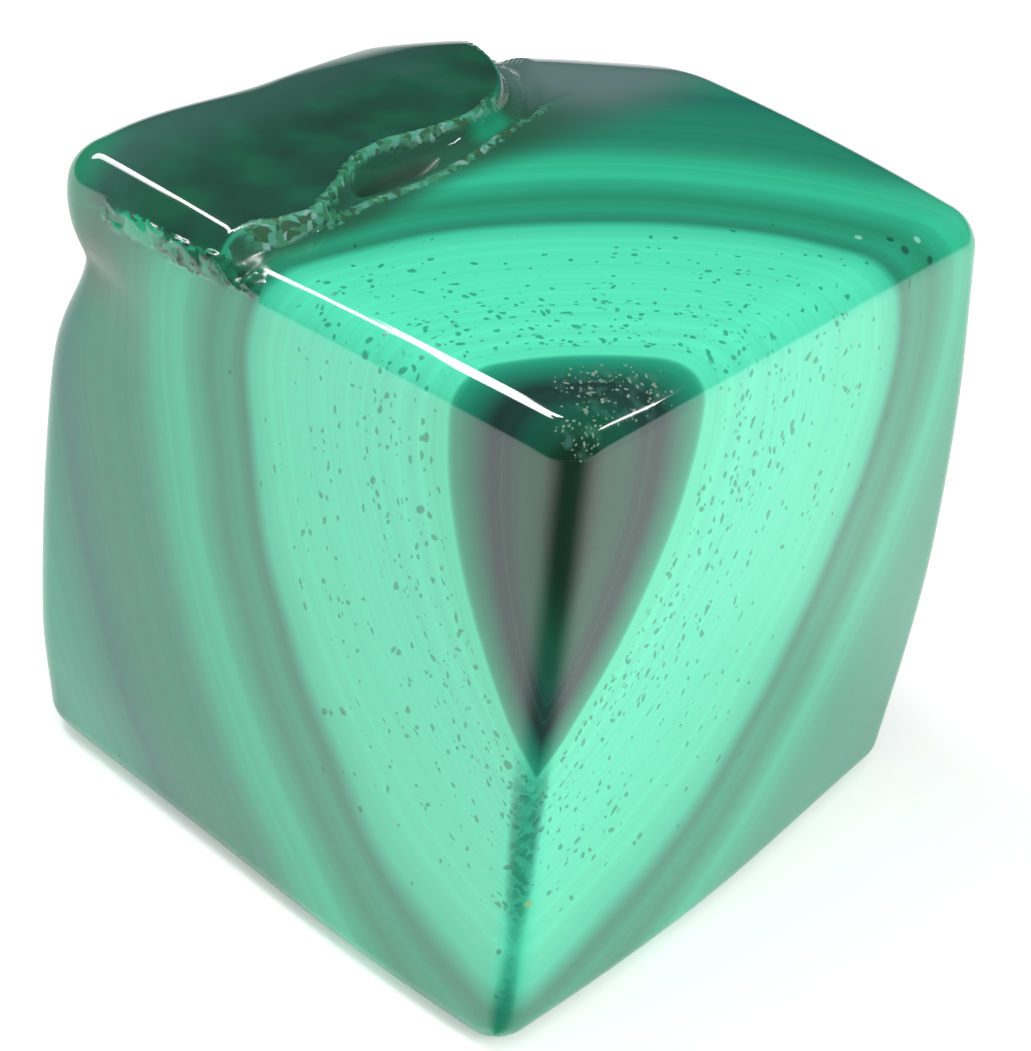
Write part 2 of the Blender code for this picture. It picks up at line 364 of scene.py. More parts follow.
# %% Work the seam
# Each place on the seam: x, y, z and the file's radius there
SEAM_COURSE = (
    (-1.95, -8.60, 19.72, 0.20), (-1.75, -7.60, 19.90, 0.12), (-1.60, -6.40, 20.00, 0.10),
    (-1.50, -2.00, 20.10, 0.08), (-1.80, 0.60, 20.00, 0.08), (-2.60, 2.60, 19.70, 0.18),
    (-4.90, 4.80, 19.45, 0.40), (-7.90, 5.60, 18.50, 0.80), (-9.95, 3.00, 17.70, 0.90),
    (-10.10, -2.00, 17.20, 0.80), (-9.90, -6.50, 16.80, 0.60), (-9.20, -9.70, 17.00, 0.30),
    (-7.90, -9.70, 17.90, 0.15), (-5.60, -9.50, 18.60, 0.10), (-3.40, -9.30, 18.90, 0.10),
    (-2.30, -9.15, 19.10, 0.16), (-1.95, -8.60, 19.72, 0.20),
)
seam_line = smooth_line(SEAM_COURSE, 8)
EASED_DEPTH = 0.05
EASED_SQUARE = 0.003
EASED_REST = 0.0118
DEEPEST_BITE = 1.6

upper = np.flatnonzero(skin[:, 2] > LOWERED_ABOVE)
gap, foot, along = nearest_on(skin[upper], seam_line[:, :3])
file_radius = np.interp(along, np.linspace(0, 1, len(seam_line)), seam_line[:, 3])
# Formula: bite = root of (radius squared - squared distance beside the axis) - the axis's height
axis_height = ((foot - skin[upper]) * outward[upper]).sum(-1)
beside_axis = np.maximum(gap ** 2 - axis_height ** 2, 0.0)
bite = np.sqrt(np.maximum(file_radius ** 2 - beside_axis, 0.0)) - axis_height
bite = np.where(beside_axis < file_radius ** 2, np.maximum(bite, 0.0), 0.0)
# Formula: half of (depth + root of (depth squared + a small square)) eases the rim of the cut
over = bite - EASED_DEPTH
bite = 0.5 * (over + np.sqrt(over ** 2 + EASED_SQUARE)) - EASED_REST
skin[upper] -= outward[upper] * np.clip(bite, 0.0, DEEPEST_BITE)[:, None]
print("deepest bite of the seam:", round(float(bite.max()), 2), "mm")

# %% [markdown]
# ## Ridges and a pocket
#
# On the top the crack's filling stands up as two thin granular ridges, with an open lens-shaped
# pocket between them. Both could be sculpted. As sums they are short: a ridge is a narrow hump
# beside a line, the pocket is a smooth bowl inside an ellipse, and a little chance roughens them.

# %% Raise the ridges and open the pocket
RIDGE_LINE = smooth_line([
    (-2.70, -8.60), (-1.99, -7.60), (-1.80, -6.23), (-1.88, -5.00), (-1.74, -3.86),
    (-1.59, -2.67), (-1.63, -1.45), (-2.03, 0.80), (-2.30, 2.45), (-2.54, 3.85), (-2.60, 5.2),
])
RIDGE_HEIGHT = 0.08
RIDGE_WIDTH = 0.11
RIM_HEIGHT = 0.06
GRIT = 0.016
POCKET_MIDDLE = np.array([-2.42, -3.0])
POCKET_HALF = np.array([0.50, 1.9])
POCKET_DEPTH = 0.40
POCKET_TURN = math.radians(-3.0)

ridge_side, ridge_along = beside_line(skin, RIDGE_LINE)
on_top = ease((skin[:, 2] - 18.8) / 0.5)
fade = ease(ridge_along / 0.08) * ease((1.0 - ridge_along) / 0.25)
# Formula: the ridge's height wavers by the product of two sines along it
wavy = 1.0 + 0.35 * np.sin(ridge_along * 97.0) * np.sin(ridge_along * 41.0 + 1.0)
skin[:, 2] += RIDGE_HEIGHT * hump(ridge_side, RIDGE_WIDTH) * fade * on_top * wavy
edge_fade = ease((slab_along - 0.2) / 0.05) * ease((0.72 - slab_along) / 0.08)
rim = hump(slab_side - 0.10, 0.10) * edge_fade
skin[:, 2] += RIM_HEIGHT * rim * on_top

cos_turn, sin_turn = math.cos(POCKET_TURN), math.sin(POCKET_TURN)
offset = skin[:, :2] - POCKET_MIDDLE
turned = np.stack([offset @ (cos_turn, sin_turn), offset @ (-sin_turn, cos_turn)], axis=-1)
# Formula: one less the root of the sum of the squared shares of the half sizes
in_pocket = 1.0 - np.sqrt(((turned / POCKET_HALF) ** 2).sum(-1))
skin[:, 2] -= POCKET_DEPTH * ease(in_pocket / 0.55) * on_top
chance = np.random.default_rng(7)
rugged = np.maximum(rim, hump(ridge_side, RIDGE_WIDTH) * fade) * on_top
skin += outward * (GRIT * chance.uniform(-1.0, 1.0, len(skin)) * rugged)[:, None]
print("pocket is", 2 * POCKET_HALF[0], "x", 2 * POCKET_HALF[1], "mm")

# %% [markdown]
# ## Grains of crust
#
# Under the slab's front edge the crack's filling is a crust of small rounded crystals. Scattered
# balls joined to the stone would need a great many faces, so each grain only lifts the skin to
# a low half ball. Their places and sizes come from chance with a fixed seed, so that they come
# out the same each time.

# %% Set the crust grains
GRAIN_COUNT = 170
GRAIN_LINE = smooth_line([
    (-7.3, -8.92, 18.88), (-6.5, -9.02, 18.92), (-5.4, -9.10, 18.98), (-4.2, -9.12, 19.07),
    (-2.7, -9.10, 19.22), (-1.2, -9.02, 19.36),
])
GRAIN_SPREAD = 0.30
GRAIN_FLATNESS = 0.6
GRAIN_TALLEST = 0.12
CRUST_WIDTH = 0.39
grain_places = GRAIN_LINE[chance.integers(0, len(GRAIN_LINE), GRAIN_COUNT)]
scatter = chance.normal(0.0, GRAIN_SPREAD, (GRAIN_COUNT, 3)) * (1.0, 0.5, 0.75)
grain_places = grain_places + scatter
grain_radii = chance.uniform(0.12, 0.27, GRAIN_COUNT)
grain_tones = chance.uniform(0.0, 1.0, GRAIN_COUNT)

crust_gap, _, crust_along = nearest_on(skin, GRAIN_LINE)
raised = np.zeros(len(skin))
tone = np.full(len(skin), 0.5)
for middle, radius, own_tone in zip(grain_places, grain_radii, grain_tones):
    # Formula: flatness times the root of (radius squared - squared distance from the middle)
    inside = radius ** 2 - ((skin - middle) ** 2).sum(-1)
    lift = np.sqrt(np.maximum(inside, 0.0)) * GRAIN_FLATNESS
    higher = lift > raised
    raised = np.where(higher, lift, raised)
    tone = np.where(higher, own_tone, tone)
crust = (hump(crust_gap, CRUST_WIDTH) * ease(crust_along / 0.1)
         * ease((1.0 - crust_along) / 0.06))
skin += outward * (np.minimum(raised, GRAIN_TALLEST) * ease((crust - 0.25) / 0.3))[:, None]
print("grains touch", int((raised > 0).sum()), "points")

# %% [markdown]
# ## From points to a mesh
#
# The whole stone is one closed mesh, because it is one natural piece. Vertex groups or painted
# masks could tell the material where the slab and the crust lie. Here each point keeps the
# distances that were worked out above, so the colours end exactly where the forms do.

# %% Make the mesh
stone_mesh = bpy.data.meshes.new("malachite_stone")
stone_mesh.from_pydata((skin * MM).tolist(), [], faces.tolist())
stone_mesh.shade_smooth()
stone = bpy.data.objects.new("malachite_stone", stone_mesh)
bpy.context.scene.collection.objects.link(stone)


def keep(name, values):
    """Stores one number per point, for the material to read."""
    layer = stone_mesh.attributes.new(name, "FLOAT", "POINT")
    layer.data.foreach_set("value", np.asarray(values, np.float32))


WELL_INSIDE = 5.0
CRUST_TOP_ACROSS = (-9.5, -8.6, -7.3, -5.4, -3.6, -2.2)
CRUST_TOP_HEIGHT = (18.2, 18.6, 18.88, 18.95, 19.02, 19.2)
crust_height = np.interp(skin[:, 0], CRUST_TOP_ACROSS, CRUST_TOP_HEIGHT)
on_side = np.maximum(ease((-7.0 - skin[:, 1]) / 1.0), ease((-8.0 - skin[:, 0]) / 0.8))
above_crust = np.where(on_side > 0.5, skin[:, 2] - crust_height, WELL_INSIDE)
# Line of the olive strip: stain with painted shade beside the seam, and a painted reflection at
# its back end.
OLIVE_SHADE_LINE = smooth_line([
    (-1.70, -9.5), (-1.63, -8.25), (-1.51, -7.55), (-1.38, -6.6), (-1.14, -5.36), (-1.12, -4.07),
    (-1.23, -2.6), (-1.27, -0.96), (-1.35, 0.93), (-1.46, 2.57), (-1.66, 4.55), (-1.72, 7.6),
    (-1.8, 11.0),
])
olive_shade_side, _ = beside_line(skin, OLIVE_SHADE_LINE)
beside_olive_shade = (skin[:, 2] > 18.4) & (skin[:, 1] > -8.9)
keep("slab_side", np.minimum(slab_side, above_crust))
keep("olive_shade_side", np.where(beside_olive_shade, olive_shade_side, -WELL_INSIDE))
keep("slab_along", slab_along)
keep("ridge_side", np.where(skin[:, 2] > 18.6, ridge_side, -WELL_INSIDE))
keep("ridge_along", ridge_along)
keep("pocket", np.clip(in_pocket, 0.0, 1.0) * on_top)
keep("crust", crust)
keep("grain_tone", tone)
print("mesh has", len(stone_mesh.vertices), "points and", len(stone_mesh.polygons), "faces")

# %% [markdown]
# ## Shader helpers
#
# A material's nodes can be placed by hand, but a few small helpers keep the recipe readable: one
# adds a node, some do a sum on two values, one maps a range, and one blends two colours.

# %% Helpers for nodes
def add(tree, kind, **settings):
    """Adds one node and gives it its settings."""
    new = tree.nodes.new(kind)
    for key, value in settings.items():
        setattr(new, key, value)
    return new


def feed(tree, socket, value):
    """Sets a socket to a number or colour, or links it to another node's output."""
    if isinstance(value, bpy.types.NodeSocket):
        tree.links.new(value, socket)
    else:
        socket.default_value = value


def calc(tree, operation, *values):
    """One sum on one or two values. Formula: first, operation, second."""
    new = add(tree, "ShaderNodeMath", operation=operation)
    for socket, value in zip(new.inputs, values):
        feed(tree, socket, value)
    return new.outputs[0]


def times(tree, first, *others):
    """Formula: the product of all the values, from left to right."""
    for other in others:
        first = calc(tree, "MULTIPLY", first, other)
    return first


def between(tree, value, low, high, out_low=0.0, out_high=1.0, smooth=True):
    """Maps one range to another and holds both ends. Formula: out low + (out high - out low)
    times s, with s the share of the way from low to high, or its smooth step."""
    new = add(tree, "ShaderNodeMapRange", interpolation_type="SMOOTHSTEP" if smooth else "LINEAR")
    for name, number in (("Value", value), ("From Min", low), ("From Max", high),
                         ("To Min", out_low), ("To Max", out_high)):
        feed(tree, new.inputs[name], number)
    return new.outputs[0]


def blend(tree, share, first, second, way="MIX"):
    """Blends two colours. Formula: first + share times (second - first), or, by the way
    MULTIPLY, first times second."""
    new = add(tree, "ShaderNodeMix", data_type="RGBA", blend_type=way)
    feed(tree, new.inputs["Factor"], share)
    feed(tree, new.inputs[6], first)
    feed(tree, new.inputs[7], second)
    return new.outputs[2]


def ramp(tree, value, stops, way="LINEAR"):
    """A colour ramp from (place, colour) stops."""
    new = add(tree, "ShaderNodeValToRGB")
    new.color_ramp.interpolation = way
    points = new.color_ramp.elements
    while len(points) < len(stops):
        points.new(1.0)
    for point, (place, colour) in zip(points, stops):
        point.position = place
        point.color = (*colour, 1.0)
    feed(tree, new.inputs[0], value)
    return new.outputs[0]


def reading(tree, name):
    """The number that the mesh keeps under a name."""
    return add(tree, "ShaderNodeAttribute", attribute_name=name).outputs["Fac"]


# %% [markdown]
# ## Which coat of malachite a point lies in
#
# The coats aren't round: they hug a core that stands at the near corner, wide at the top and
# pointed below. A stretched distance describes them: each direction is divided by its own reach
# before the parts are added up. The same sum is needed for the core and for the outer coats, so
# it is a node group with named inputs.

# %% Node group for a stretched distance
# Formula: (((x/a)^r + (y/b)^r)^(side/r) + (z/c)^depth)^root, with x, y, z the distances from the
# middle, a, b, c the reaches, r the roundness, and side, depth and root the powers
gauge_group = bpy.data.node_groups.new("stretched_distance", "ShaderNodeTree")
for name in ("Place", "Middle", "Reach"):
    gauge_group.interface.new_socket(name, in_out="INPUT", socket_type="NodeSocketVector")
for name in ("Roundness", "Side Power", "Depth Power", "Root"):
    gauge_group.interface.new_socket(name, in_out="INPUT", socket_type="NodeSocketFloat")
gauge_group.interface.new_socket("Distance", in_out="OUTPUT", socket_type="NodeSocketFloat")
gauge_in = add(gauge_group, "NodeGroupInput")
gauge_out = add(gauge_group, "NodeGroupOutput")
offset_node = add(gauge_group, "ShaderNodeVectorMath", operation="SUBTRACT")
size_node = add(gauge_group, "ShaderNodeVectorMath", operation="ABSOLUTE")
share_node = add(gauge_group, "ShaderNodeVectorMath", operation="DIVIDE")
split_node = add(gauge_group, "ShaderNodeSeparateXYZ")
feed(gauge_group, offset_node.inputs[0], gauge_in.outputs["Place"])
feed(gauge_group, offset_node.inputs[1], gauge_in.outputs["Middle"])
feed(gauge_group, size_node.inputs[0], offset_node.outputs[0])
feed(gauge_group, share_node.inputs[0], size_node.outputs[0])
feed(gauge_group, share_node.inputs[1], gauge_in.outputs["Reach"])
feed(gauge_group, split_node.inputs[0], share_node.outputs[0])
round_power = gauge_in.outputs["Roundness"]
level_sum = calc(gauge_group, "ADD",
                 calc(gauge_group, "POWER", split_node.outputs[0], round_power),
                 calc(gauge_group, "POWER", split_node.outputs[1], round_power))
side_power = calc(gauge_group, "DIVIDE", gauge_in.outputs["Side Power"], round_power)
total = calc(gauge_group, "ADD",
             calc(gauge_group, "POWER", level_sum, side_power),
             calc(gauge_group, "POWER", split_node.outputs[2], gauge_in.outputs["Depth Power"]))
feed(gauge_group, gauge_out.inputs[0], calc(gauge_group, "POWER", total, gauge_in.outputs["Root"]))
print("group", gauge_group.name, "has", len(gauge_group.nodes), "nodes")

# %% Start the material
finish = bpy.data.materials.new("layered_malachite")
finish.use_nodes = True
tree = finish.node_tree
shader = tree.nodes["Principled BSDF"]
coordinates = add(tree, "ShaderNodeTexCoord")
place_mm = add(tree, "ShaderNodeVectorMath", operation="SCALE")
feed(tree, place_mm.inputs[0], coordinates.outputs["Object"])
place_mm.inputs["Scale"].default_value = 1.0 / MM
place = place_mm.outputs[0]
split_place = add(tree, "ShaderNodeSeparateXYZ")
feed(tree, split_place.inputs[0], place)
across_at, along_at, height_at = split_place.outputs


def noise(tree, where, scale, detail=2.0, rough=0.5, kind="3D"):
    """Soft random values round a half, with scale waves per millimetre."""
    new = add(tree, "ShaderNodeTexNoise", noise_dimensions=kind)
    feed(tree, new.inputs["W" if kind == "1D" else "Vector"], where)
    new.inputs["Scale"].default_value = scale
    new.inputs["Detail"].default_value = detail
    new.inputs["Roughness"].default_value = rough
    return new.outputs["Fac"]


def gauge(middle, reach, roundness, side_power, depth_power, root):
    """The stretched distance from a middle, by the node group. It is one at the reach."""
    new = add(tree, "ShaderNodeGroup", node_tree=gauge_group)
    feed(tree, new.inputs["Place"], place)
    for name, value in (("Middle", middle), ("Reach", reach), ("Roundness", roundness),
                        ("Side Power", side_power), ("Depth Power", depth_power), ("Root", root)):
        new.inputs[name].default_value = value
    return new.outputs["Distance"]


CORE_DEPTH = 4.4
LIGHT_BAND = 6.5
COAT_SPACING = 12.0
core_share = gauge((9.159, -8.933, 20.812), (4.143, 4.974, 11.245), 1.397, 0.80, 2.309, 1.0)
line_share = gauge((10.997, -10.091, 17.756), (12.672, 14.911, 16.873), 1.65, 1.786, 1.503, 0.606)
print("core reaches", CORE_DEPTH, "mm, then a light band of", LIGHT_BAND, "mm")

# %% [markdown]
# ## One running depth through all the coats
#
# Three stretches are joined into one depth in millimetres: inside the core, across the wide light
# band, and outside the thin double line. A little noise sways the depth, because no coat grows
# perfectly even.

# %% Join the stretches into one depth
LINE_PULL = 2.2
SWAY = 0.30


def above(tree, value, level):
    """Formula: the larger of value - level and nothing."""
    return calc(tree, "MAXIMUM", calc(tree, "SUBTRACT", value, level), 0.0)


# Formula: share = past core / (past core + pull times what is left before the line)
past_core = above(tree, core_share, 1.0)
before_line = calc(tree, "MAXIMUM", calc(tree, "SUBTRACT", 1.0, line_share), 0.0)
band_total = calc(tree, "ADD", past_core, times(tree, before_line, LINE_PULL))
band_share = calc(tree, "DIVIDE", past_core, calc(tree, "MAXIMUM", band_total, 0.0001))
# Formula: depth = core's part + share times the light band + what lies past the line + sway
inside_depth = calc(tree, "MINIMUM", times(tree, core_share, CORE_DEPTH), CORE_DEPTH)
outside_depth = times(tree, above(tree, line_share, 1.0), COAT_SPACING)
depth_plain = calc(tree, "ADD", inside_depth,
                   calc(tree, "ADD", times(tree, band_share, LIGHT_BAND), outside_depth))
sway = times(tree, calc(tree, "SUBTRACT", noise(tree, place, 0.28, 0.0), 0.5), SWAY)
depth = calc(tree, "ADD", depth_plain, sway)
print("coats sway by up to", SWAY / 2, "mm")

# %% [markdown]
# ## The colours of the coats
#
# Coarse crystals make a coat dark and fine ones make it pale, all of the same green. The colours
# run along the depth: a nearly black core with a soft green border, the broad pale band, the thin
# double line, and then quieter bands out to the far corner. Fine streaks follow the same depth,
# a few pale ones cross the core, and towards the right the outer coats are a little brighter.

# %% Colour the coats
DEPTH_SPAN = 30.0
CORE_LINE_COLOUR = (0.030, 0.150, 0.100, 1.0)
RIGHT_LOW_COLOUR = (0.022, 0.360, 0.205, 1.0)
RIGHT_HIGH_COLOUR = (0.075, 0.560, 0.340, 1.0)
# Each coat: its depth in mm, and its colour there
COATS = [
    (1.45, (0.008, 0.034, 0.021)), (1.80, (0.011, 0.088, 0.052)), (2.3, (0.013, 0.105, 0.066)),
    (2.8, (0.017, 0.055, 0.045)), (3.3, (0.017, 0.052, 0.044)), (3.85, (0.018, 0.205, 0.130)),
    (4.32, (0.024, 0.360, 0.215)), (4.42, (0.105, 0.790, 0.490)), (5.6, (0.120, 0.840, 0.540)),
    (7.0, (0.110, 0.830, 0.530)), (8.6, (0.105, 0.815, 0.515)), (10.1, (0.095, 0.770, 0.480)),
    (10.58, (0.060, 0.600, 0.375)), (10.88, (0.028, 0.270, 0.158)), (11.1, (0.028, 0.285, 0.165)),
    (11.4, (0.028, 0.360, 0.205)), (11.75, (0.028, 0.330, 0.185)), (12.1, (0.026, 0.285, 0.160)),
    (12.6, (0.030, 0.390, 0.220)), (13.3, (0.042, 0.560, 0.320)), (14.1, (0.038, 0.510, 0.290)),
    (14.9, (0.032, 0.320, 0.190)), (15.6, (0.023, 0.262, 0.160)), (17.4, (0.023, 0.250, 0.158)),
    (18.5, (0.022, 0.190, 0.140)), (18.8, (0.022, 0.225, 0.152)), (19.6, (0.030, 0.300, 0.200)),
    (21.5, (0.040, 0.400, 0.260)), (23.5, (0.028, 0.270, 0.180)), (26.0, (0.040, 0.420, 0.260)),
    (28.0, (0.024, 0.200, 0.130)), (30.0, (0.036, 0.360, 0.220)),
]
coat_colour = ramp(tree, calc(tree, "DIVIDE", depth, DEPTH_SPAN),
                   [(d / DEPTH_SPAN, c) for d, c in COATS])
streak = noise(tree, depth, 2.6, 3.0, 0.65, "1D")
streak_tone = between(tree, streak, 0.30, 0.72, 0.93, 1.03, smooth=False)
coat_colour = blend(tree, 1.0, coat_colour, streak_tone, "MULTIPLY")
core_line = times(tree, between(tree, streak, 0.58, 0.70, 0.0, 0.26),
                  between(tree, depth, 3.4, 3.0), between(tree, height_at, 19.6, 18.6))
coat_colour = blend(tree, core_line, coat_colour, CORE_LINE_COLOUR)
right_share = times(tree, between(tree, across_at, 5.5, 9.0), between(tree, depth, 13.0, 14.6))
right_colour = blend(tree, between(tree, height_at, 17.0, 19.6),
                     RIGHT_LOW_COLOUR, RIGHT_HIGH_COLOUR)
coat_colour = blend(tree, times(tree, right_share, 0.68), coat_colour, right_colour)
print(len(COATS), "coats over", DEPTH_SPAN, "mm")

# %% [markdown]
# ## Pores in rows
#
# Tiny pores open where a coat grew loosely. They stand in rows that follow the coats, close
# together just outside the core and sparse further out. A cell pattern gives one possible pore
# per cell, and a number that depends on the depth decides how many of them are open.

# %% Scatter the pores
PORE_SCALE = 4.5
PORE_TINT = (0.30, 0.46, 0.45, 1.0)
# Each row: a depth in mm, and the share of the cells that hold an open pore there
OPEN_PORES = ((0.0, 0.0), (4.75, 0.0), (5.0, 1.0), (6.5, 0.90), (7.1, 0.42), (9.4, 0.26),
              (10.4, 0.05), (12.0, 0.0))
shake = add(tree, "ShaderNodeTexNoise")
feed(tree, shake.inputs["Vector"], place)
shake.inputs["Scale"].default_value = 2.2
shake.inputs["Detail"].default_value = 0.0
shaken = add(tree, "ShaderNodeVectorMath", operation="MULTIPLY_ADD")
feed(tree, shaken.inputs[0], shake.outputs["Color"])
shaken.inputs[1].default_value = (0.35, 0.35, 0.35)
feed(tree, shaken.inputs[2], place)
stretched = add(tree, "ShaderNodeVectorMath", operation="MULTIPLY")
feed(tree, stretched.inputs[0], shaken.outputs[0])
stretched.inputs[1].default_value = (1.0, 1.0, 0.72)
cell = add(tree, "ShaderNodeTexVoronoi", feature="F1")
feed(tree, cell.inputs["Vector"], stretched.outputs[0])
cell.inputs["Scale"].default_value = PORE_SCALE
cell_chance = add(tree, "ShaderNodeSeparateColor")
feed(tree, cell_chance.inputs[0], cell.outputs["Color"])
open_share = ramp(tree, calc(tree, "DIVIDE", depth, DEPTH_SPAN),
                  [(d / DEPTH_SPAN, (share,) * 3) for d, share in OPEN_PORES])
rows = between(tree, noise(tree, depth, 4.2, 1.0, 0.5, "1D"), 0.42, 0.60, 0.25, 1.3)
is_open = calc(tree, "LESS_THAN", cell_chance.outputs[0], times(tree, open_share, rows))
pore_size = between(tree, cell_chance.outputs[1], 0.0, 1.0, 0.16, 0.40, smooth=False)
past_rim = calc(tree, "SUBTRACT", cell.outputs["Distance"], pore_size)
pore = times(tree, between(tree, past_rim, 0.10, -0.06), is_open)
pore_colour = blend(tree, 1.0, coat_colour, PORE_TINT, "MULTIPLY")
coat_colour = blend(tree, times(tree, pore, 0.9), coat_colour, pore_colour)
print("pore cells are about", round(1.0 / PORE_SCALE, 2), "mm wide")

# %% [markdown]
# ## The slab's own green
#
# The slab is an older piece with its own dark, cloudy green, a little paler towards the left,
# partly its own colour and partly a painted sheen. It ends at a line on the surface, so the
# material reads the distances that were stored with the mesh. A noise with few details gives the
# clouds; a painted texture could too, but it would have to be drawn again if the shape changed.

# %% Colour the seam's parts
slab_at = reading(tree, "slab_side")
slab_at_along = reading(tree, "slab_along")
ridge_at = reading(tree, "ridge_side")
ridge_at_along = reading(tree, "ridge_along")
olive_shade_at = reading(tree, "olive_shade_side")
crust_at = reading(tree, "crust")
grain_at = reading(tree, "grain_tone")
pocket_at = reading(tree, "pocket")


def cell_pattern(tree, where, scale):
    """Two random numbers per cell, and the distance from the cell's middle."""
    new = add(tree, "ShaderNodeTexVoronoi", feature="F1")
    feed(tree, new.inputs["Vector"], where)
    new.inputs["Scale"].default_value = scale
    parts = add(tree, "ShaderNodeSeparateColor")
    feed(tree, parts.inputs[0], new.outputs["Color"])
    return parts.outputs[0], parts.outputs[1], new.outputs["Distance"]


def spot(tree, centre, inner, outer):
    """A round spot. Formula: one within the inner distance of its centre, then a smooth step
    down to nothing at the outer distance."""
    gap = add(tree, "ShaderNodeVectorMath", operation="DISTANCE")
    feed(tree, gap.inputs[0], place)
    gap.inputs[1].default_value = centre
    return between(tree, gap.outputs["Value"], outer, inner)


SLAB_LEFT_TONE_AND_SHEEN = (0.052, 0.152, 0.118, 1.0)
granule, granule_two, _ = cell_pattern(tree, shaken.outputs[0], 5.2)
cloud = noise(tree, place, 0.45, 2.0, 0.55)
slab_colour = ramp(tree, cloud, [
    (0.30, (0.020, 0.064, 0.044)), (0.48, (0.020, 0.086, 0.058)), (0.60, (0.018, 0.118, 0.070)),
    (0.75, (0.034, 0.128, 0.092))])
# Paler towards the left: partly the slab's own colour, partly a painted sheen.
slab_colour = blend(tree, between(tree, across_at, -5.0, -8.4), slab_colour, SLAB_LEFT_TONE_AND_SHEEN)
print("material has", len(tree.nodes), "nodes so far")

# %% [markdown]
# ## Beside the seam
#
# Where the crack ran, the malachite next to it is marked: an olive strip beside the seam, partly
# stain and partly painted shade under the slab's step, that widens and greys towards the back into
# a painted reflection, a bright tip at the slab's round end, a dark pocket, a painted shade over
# the dent, and a clear green on the slab's far left corner. Each is one blend over the coats, laid
# down like glazes in the order in which they cover one another.

# %% Colour the top beside the seam
OLIVE_SHADE_FRONT, OLIVE_REFLECTION_BACK = (0.026, 0.100, 0.062, 1.0), (0.070, 0.150, 0.125, 1.0)
GREY_REFLECTION = (0.140, 0.215, 0.215, 1.0)
TIP_COLOUR = (0.020, 0.300, 0.165, 1.0)
POCKET_COLOUR = (0.020, 0.075, 0.045, 1.0)
DENT_SHADE_COLOUR = (0.040, 0.120, 0.085, 1.0)
CORNER_COLOUR = (0.026, 0.300, 0.170, 1.0)

off_slab = between(tree, slab_at, 0.05, -0.05)
# Olive stain with painted shade at the front, greying towards the back into a painted grey
# reflection.
olive_shade_and_reflection = blend(tree, between(tree, along_at, 0.5, 5.5), OLIVE_SHADE_FRONT, OLIVE_REFLECTION_BACK)
olive_shade_and_reflection = blend(tree, spot(tree, (-3.6, 6.6, 19.4), 1.6, 4.2), olive_shade_and_reflection, GREY_REFLECTION)
olive_shade_fade = between(tree, along_at, -3.0, 5.0, -0.5, -2.4)
olive_shade_share = times(tree, between(tree, olive_shade_at, olive_shade_fade, 0.5), off_slab)
bright_tip = times(tree, spot(tree, (-2.85, 0.8, 19.8), 0.5, 1.3),
                   between(tree, ridge_at, 0.05, 0.25))
# Painted shade: a darker patch laid over the dent under the slab's left end.
dent_shade_share = times(tree, spot(tree, (-8.3, -9.4, 17.7), 0.9, 2.6), off_slab, 0.8)
corner_share = times(tree, spot(tree, (-8.9, -8.4, 19.0), 1.0, 2.1), 0.85)
glazes = (
    (times(tree, olive_shade_share, 0.92), olive_shade_and_reflection),
    (bright_tip, TIP_COLOUR),
    (between(tree, pocket_at, 0.08, 0.40), POCKET_COLOUR),
    (between(tree, slab_at, 0.02, 0.16), slab_colour),
    (dent_shade_share, DENT_SHADE_COLOUR),
    (corner_share, CORNER_COLOUR),
)
colour = coat_colour
for share, glaze in glazes:
    colour = blend(tree, share, colour, glaze)
print(len(glazes), "glazes beside the seam")

# %% [markdown]
# ## Ridges and crust
#
# The filling of the crack is made of single crystals, rust and pale green on the ridges, and from
# bright green to nearly black in the crust. A cell pattern gives each crystal one flat colour, by
# a colour ramp with hard steps. A smooth noise would look like a stain instead.

# %% Colour ridges and crust
CRUST_BRIGHT = (0.026, 0.420, 0.220, 1.0)
CRUST_SHADE_DARK = (0.005, 0.095, 0.050, 1.0)
rust_and_green = ramp(tree, granule, [
    (0.0, (0.030, 0.110, 0.050)), (0.30, (0.040, 0.230, 0.120)), (0.62, (0.075, 0.330, 0.230)),
    (0.90, (0.190, 0.400, 0.340))], "CONSTANT")
wander = between(tree, granule_two, 0.0, 1.0, -0.05, 0.05, smooth=False)
ridge_gap = calc(tree, "ADD", calc(tree, "ABSOLUTE", ridge_at), wander)
on_ridge = times(tree, between(tree, ridge_gap, 0.20, 0.08),
                 between(tree, ridge_at_along, 0.0, 0.05),
                 between(tree, ridge_at_along, 0.95, 0.70))
colour = blend(tree, times(tree, on_ridge, 0.9), colour, rust_and_green)
edge_gap = calc(tree, "ABSOLUTE", calc(tree, "SUBTRACT", slab_at, 0.08))
edge_gap = calc(tree, "ADD", edge_gap, wander)
on_edge = times(tree, between(tree, edge_gap, 0.20, 0.08),
                between(tree, slab_at_along, 0.12, 0.18),
                between(tree, slab_at_along, 0.74, 0.62), between(tree, height_at, 18.8, 19.1))
colour = blend(tree, times(tree, on_edge, 0.9), colour, rust_and_green)
grain_mix = calc(tree, "ADD", times(tree, grain_at, 0.45), times(tree, granule, 0.55))
grain_colour = ramp(tree, grain_mix, [
    (0.0, (0.008, 0.055, 0.034)), (0.30, (0.012, 0.135, 0.072)), (0.46, (0.016, 0.240, 0.130)),
    (0.62, (0.024, 0.340, 0.190)), (0.84, (0.110, 0.400, 0.290))], "CONSTANT")
crust_bright = spot(tree, (-5.6, -8.95, 18.95), 0.55, 1.10)
# Painted shade: a darker patch where the groove runs over the slab's front edge.
crust_shade = times(tree, spot(tree, (-1.9, -9.0, 19.25), 0.5, 1.4), 0.6)
grain_colour = blend(tree, crust_bright, grain_colour, CRUST_BRIGHT)
grain_colour = blend(tree, crust_shade, grain_colour, CRUST_SHADE_DARK)
crust_edge = calc(tree, "ADD", crust_at, times(tree, wander, 3.0))
colour = blend(tree, between(tree, crust_edge, 0.36, 0.50), colour, grain_colour)
print("material has", len(tree.nodes), "nodes so far")
